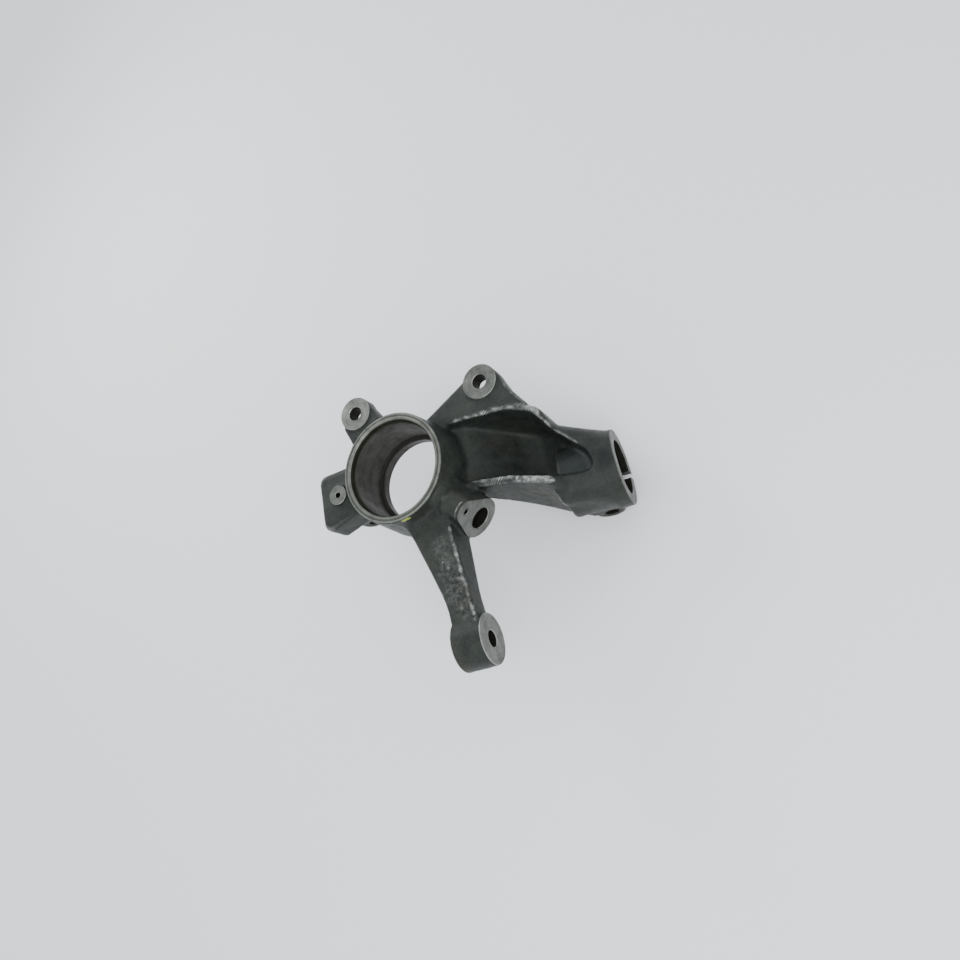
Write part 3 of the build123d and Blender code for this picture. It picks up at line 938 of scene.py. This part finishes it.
class Nodes:
    """Short calls for building one material."""

    def __init__(self, name):
        self.material = bpy.data.materials.new(name)
        self.material.use_nodes = True
        self.tree = self.material.node_tree
        self.shader = self.tree.nodes["Principled BSDF"]

    def add(self, kind, inputs=(), **values):
        node = self.tree.nodes.new(kind)
        for key, value in values.items():
            setattr(node, key, value)
        for key, value in dict(inputs).items():
            self.set(node.inputs[key], value)
        return node

    def set(self, socket, value):
        if isinstance(value, bpy.types.NodeSocket):
            self.tree.links.new(value, socket)
        else:
            socket.default_value = value

    def noise(self, vector, scale, detail, rough):
        inputs = {"Vector": vector, "Scale": scale, "Detail": detail, "Roughness": rough}
        return self.add("ShaderNodeTexNoise", inputs).outputs["Fac"]

    def span(self, value, low, high, out_low=0.0, out_high=1.0):
        inputs = {"Value": value, "From Min": low, "From Max": high, "To Min": out_low, "To Max": out_high}
        return self.add("ShaderNodeMapRange", inputs, clamp=True).outputs["Result"]

    def math(self, operation, a, b):
        return self.add("ShaderNodeMath", {0: a, 1: b}, operation=operation).outputs[0]

    def vector(self, operation, a, b):
        return self.add("ShaderNodeVectorMath", {0: a, 1: b}, operation=operation).outputs["Vector"]

    def length(self, a):
        return self.add("ShaderNodeVectorMath", {0: a}, operation="LENGTH").outputs["Value"]

    def attribute(self, name):
        return self.add("ShaderNodeAttribute", attribute_name=name).outputs["Fac"]

    def mix(self, factor, a, b, blend="MIX"):
        node = self.add("ShaderNodeMix", data_type="RGBA", blend_type=blend, clamp_factor=True)
        self.set(node.inputs[0], factor)
        self.set(node.inputs[6], a)
        self.set(node.inputs[7], b)
        return node.outputs[2]

    def bump(self, height, distance, strength, under=None):
        inputs = {"Height": height, "Distance": distance, "Strength": strength}
        if under:
            inputs["Normal"] = under
        return self.add("ShaderNodeBump", inputs).outputs["Normal"]

    def shade(self, **values):
        for key, value in values.items():
            self.set(self.shader.inputs[key.replace("_", " ")], value)
        return self.material


def rgba(colour):
    return (*colour, 1.0)


def cast_iron(settings):
    """Dark sand-cast skin: blotches, fine grain, pits, rubbed edges that double as painted highlights,
    painted shade in hollows, painted highlights along lines, and the paint mark.
    """
    n = Nodes("cast_iron_skin")
    place = n.add("ShaderNodeTexCoord").outputs["Object"]
    bulge = n.attribute("bulge")
    shine = n.attribute("shine")
    blotch = n.noise(place, *BLOTCHES)
    patch = n.noise(place, *PATCHES)
    grain = n.noise(place, *SAND)
    pits = n.add("ShaderNodeTexVoronoi", {"Vector": place, "Scale": PITS_PER_METRE}).outputs["Distance"]
    tone = n.math("ADD", n.span(blotch, *BAND, 0.0, 0.55), n.span(patch, *BAND, 0.0, 0.45))
    colour = n.mix(tone, rgba(settings.dark), rgba(settings.light))
    brown = n.span(n.noise(place, *BROWN_PATCHES), 0.55, 0.72, 0.0, 0.5)
    colour = n.mix(brown, colour, rgba(settings.stain))
    speck = n.span(grain, 0.3, 0.75, 0.72, 1.35)
    grey = n.add("ShaderNodeCombineColor", {0: speck, 1: speck, 2: speck}).outputs[0]
    colour = n.mix(1.0, colour, grey, "MULTIPLY")
    # Painted shade: hollows, and the recess beside the clamp, darkened towards the hollow colour
    colour = n.mix(n.span(bulge, *HOLLOW_SHADE_BULGE, 0.0, 0.6), colour, rgba(HOLLOW_SHADE_COLOUR))
    # Rubbed wear on crests, lighter, which also serves as a painted highlight
    ragged = n.span(n.noise(place, *RUB_AND_HIGHLIGHT_GAPS), 0.42, 0.62, 0.5, 1.25)
    rub_and_highlight = n.math("MULTIPLY", n.span(bulge, *RUB_AND_HIGHLIGHT_BULGE), ragged)
    # Painted highlight along the channel's edge, the flashes and the arm's patch, broken into stretches; it
    # also lowers roughness
    broken = n.span(n.noise(place, *HIGHLIGHT_GAPS), 0.42, 0.62)
    rub_and_highlight = n.math("MAXIMUM", rub_and_highlight, n.math("MULTIPLY", n.math("MULTIPLY", shine, broken), 0.95))
    colour = n.mix(n.math("MULTIPLY", rub_and_highlight, 0.8), colour, rgba(settings.rubbed))
    offset = n.vector("SUBTRACT", place, PAINT_AT)
    away = n.length(n.vector("MULTIPLY", offset, PAINT_FLATTENED))
    edge = n.span(n.noise(place, *PAINT_RAGGED), *BAND, *PAINT_R)
    colour = n.mix(n.math("LESS_THAN", away, edge), colour, rgba(settings.paint))
    rough = n.span(patch, *BAND, settings.roughness - 0.08, settings.roughness + 0.12)
    rough = n.math("SUBTRACT", rough, n.math("MULTIPLY", n.math("MAXIMUM", rub_and_highlight, shine), 0.2))
    normal = n.bump(patch, 0.5 * MM, 0.35)
    normal = n.bump(grain, 0.16 * MM, 0.75, normal)
    normal = n.bump(n.span(pits, 0.0, 0.35), 0.12 * MM, 0.35, normal)
    return n.shade(Base_Color=colour, Roughness=rough, Normal=normal, Specular_IOR_Level=0.20, Metallic=0.0)


def machined_iron(name, colour, roughness, marks_per_metre, metal):
    """Bare machined iron with tool marks that follow the surface's own map, and dull oily blotches."""
    n = Nodes("machined_" + name)
    coords = n.add("ShaderNodeTexCoord")
    place = coords.outputs["Object"]
    parts = n.add("ShaderNodeSeparateXYZ", {0: coords.outputs["UV"]}).outputs
    around = n.math("MULTIPLY", parts[0], MARKS_ROUND)
    along = n.math("MULTIPLY", parts[1], marks_per_metre)
    lined = n.add("ShaderNodeCombineXYZ", {0: around, 1: along}).outputs[0]
    marks = n.noise(lined, *TOOL_MARKS)
    stain = n.noise(place, *OIL_BLOTCHES)
    fine = n.noise(place, *FINE_SCRATCHES)
    tone = n.math("ADD", n.span(stain, 0.36, 0.66, 0.0, 0.6), n.span(marks, 0.35, 0.65, 0.0, 0.4))
    dull = tuple(part * DULL_SHARE for part in colour)
    shade = n.mix(tone, rgba(colour), rgba(dull))
    rough = n.span(stain, *BAND, roughness - 0.08, roughness + 0.14)
    normal = n.bump(marks, 0.05 * MM, 0.6)
    normal = n.bump(fine, 0.03 * MM, 0.6, normal)
    return n.shade(
        Base_Color=shade, Roughness=rough, Normal=normal, Metallic=metal, Specular_IOR_Level=metal * 0.6)


def finishes(values, face, edge, prefix):
    """Materials of a machined piece, in the order of its finishes."""
    looks = (        # finish, colour, tool marks per metre, how metallic
        ("face", face, 700.0, 0.75), ("wall", values.wall, 500.0, 0.1), ("seat", values.seat, 120.0, 0.4),
        ("edge", edge, 900.0, 0.75), ("groove", values.groove, 500.0, 0.1),
    )
    return [machined_iron(prefix + name, colour, values.roughness, *rest) for name, colour, *rest in looks]


def plain_floor(colour):
    """Smooth, matt and pale."""
    n = Nodes("pale_floor")
    return n.shade(Base_Color=rgba(colour), Roughness=0.7, Specular_IOR_Level=0.2)


# ---------------------------------------------------------------------------------------------------
# Operators
# ---------------------------------------------------------------------------------------------------

RINGS = []        # of each machined ring: its matrix, visible profile and free edges


class KNUCKLE_OT_machined(bpy.types.Operator):
    """Makes the hub bore, the drilled pads and the sensor pad as crisp machined surfaces"""
    bl_idname = "knuckle.machined"
    bl_label = "Machined Faces"

    def execute(self, context):
        values = context.scene.knuckle_machined
        RINGS.clear()
        # Painted highlights: each set's edge colour is lighter than its faces along the chamfers
        bright = finishes(values, values.bright, values.edge, "")
        rim = finishes(values, values.rim, values.rim_edge_highlight, "rim_")
        dull = finishes(values, values.worn, values.bright, "dull_")
        # Ear bores: painted shade, with the hole walls' colour on their faces and the seat's on their edges
        dark = finishes(values, values.wall, values.seat, "dark_")
        made = [(hub_ring(values.sides), rim)]
        pads = (        # piece, mount, radius, far radius, half slit, whether its edge stands free, finishes
            ("caliper_pad_a", "caliper_bolt_a", LUG_PAD_R, LUG_BACK_R, 0.0, True, bright),
            ("caliper_pad_b", "caliper_bolt_b", LUG_PAD_R, LUG_BACK_R, 0.0, True, bright),
            ("tie_rod_pad", "tie_rod_eye", EYE_PAD_R, EYE_PAD_R, 0.0, True, bright),
            ("strut_bore", "strut_clamp", COLLAR_PAD_R, None, SLIT_HALF, True, dull),
            ("ball_joint_bore", "ball_joint_clamp", SOCKET_PAD_R, None, SOCKET_SLIT_HALF, True, dull),
            ("shield_pad", "splash_shield_screw", SHIELD_PAD_R, None, 0.0, True, bright),
            ("sensor_bore", "wheel_speed_sensor", SENSOR_LINING_R, None, 0.0, False, bright),
            ("sensor_screw_hole", "sensor_screw", SCREW_LINING_R, None, 0.0, False, bright),
        )
        for name, mount, pad_r, far_r, slit, free, look in pads:
            made.append((drilled(name, MOUNTS[mount], pad_r, values.sides, far_r, slit, free), look))
        ears = (("strut_ear_bore", "strut_pinch_bolt"), ("joint_ear_bore", "ball_joint_pinch_bolt"))
        for name, mount in ears:
            made += [(ring, dark) for ring in ear_bores(name, MOUNTS[mount], values.sides)]
        for (piece, ring), look in made:
            RINGS.append(ring)
            finish_piece(piece, look)
        finish_piece(sensor_pad(), bright)
        return {"FINISHED"}


class KNUCKLE_OT_cast_skin(bpy.types.Operator):
    """Makes the cast skin, with filled corners and sand grain, over the whole casting"""
    bl_idname = "knuckle.cast_skin"
    bl_label = "Cast Skin"

    def execute(self, context):
        if not RINGS:
            raise RuntimeError("make the machined faces first: the skin lies under them")
        values = context.scene.knuckle_cast
        piece = cast_skin(values, context.scene.knuckle_machined, RINGS)
        finish_piece(piece, [cast_iron(values)])
        return {"FINISHED"}


def softbox(name, at, size, power):
    """A square lamp that faces the casting."""
    lamp = bpy.data.lights.new(name, "AREA")
    lamp.shape = "SQUARE"
    lamp.size = size
    lamp.energy = power
    piece = new_object(name, lamp)
    piece.location = at
    piece.rotation_mode = "QUATERNION"
    piece.rotation_quaternion = (Vector(LIT_POINT) - Vector(at)).to_track_quat("-Z", "Y")


class KNUCKLE_OT_stage(bpy.types.Operator):
    """Makes the floor, the light from all round, the two soft lights and the camera"""
    bl_idname = "knuckle.stage"
    bl_label = "Stage"

    def execute(self, context):
        values = context.scene.knuckle_stage
        half = values.floor_size / 2
        z = START_LOW[2] - FLOOR_GAP
        mesh = bpy.data.meshes.new("floor")
        corners = [(-half, -half, z), (half, -half, z), (half, half, z), (-half, half, z)]
        mesh.from_pydata(corners, [], [(0, 1, 2, 3)])
        floor = new_object("floor", mesh)
        floor.data.materials.append(plain_floor(values.floor_colour))
        floor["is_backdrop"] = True
        sky = bpy.data.worlds.new("studio")
        sky.use_nodes = True
        backdrop = sky.node_tree.nodes["Background"]
        backdrop.inputs["Color"].default_value = rgba(SKY_COLOUR)
        backdrop.inputs["Strength"].default_value = values.sky
        context.scene.world = sky
        softbox("key_light", KEY_AT, KEY_SIZE, values.key_power)
        softbox("fill_light", FILL_AT, FILL_SIZE, values.fill_power)
        add_camera(context.scene)
        return {"FINISHED"}


def add_camera(scene):
    """The camera that looks down on the open side of the neck."""
    lens = bpy.data.cameras.new("camera")
    lens.lens = LENS
    lens.sensor_width = FRAME_WIDTH
    lens.clip_start = 0.01
    camera = new_object("camera", lens)
    columns = zip(CAMERA_RIGHT, CAMERA_UP, CAMERA_BACK, CAMERA_AT)
    camera.matrix_world = Matrix([*columns, (0, 0, 0, 1)])
    scene.camera = camera


class KNUCKLE_PT_sidebar(bpy.types.Panel):
    """Settings and steps of the steering knuckle"""
    bl_label = "Steering Knuckle"
    bl_idname = "KNUCKLE_PT_sidebar"
    bl_space_type = "VIEW_3D"
    bl_region_type = "UI"
    bl_category = "Knuckle"

    def draw(self, context):
        steps = (
            (KNUCKLE_OT_machined, context.scene.knuckle_machined),
            (KNUCKLE_OT_cast_skin, context.scene.knuckle_cast),
            (KNUCKLE_OT_stage, context.scene.knuckle_stage),
        )
        for operator, values in steps:
            box = self.layout.box()
            for key in values.__annotations__:
                box.prop(values, key)
            box.operator(operator.bl_idname)


CLASSES = (
    CastSettings, MachinedSettings, StageSettings, KNUCKLE_OT_machined, KNUCKLE_OT_cast_skin,
    KNUCKLE_OT_stage, KNUCKLE_PT_sidebar,
)


def register():
    for cls in CLASSES:
        bpy.utils.register_class(cls)
    bpy.types.Scene.knuckle_cast = PointerProperty(type=CastSettings)
    bpy.types.Scene.knuckle_machined = PointerProperty(type=MachinedSettings)
    bpy.types.Scene.knuckle_stage = PointerProperty(type=StageSettings)


def unregister():
    for name in ("knuckle_cast", "knuckle_machined", "knuckle_stage"):
        delattr(bpy.types.Scene, name)
    for cls in reversed(CLASSES):
        bpy.utils.unregister_class(cls)


def main():
    register()
    bpy.ops.knuckle.machined()
    bpy.ops.knuckle.cast_skin()
    bpy.ops.knuckle.stage()


if __name__ == "__main__":
    main()
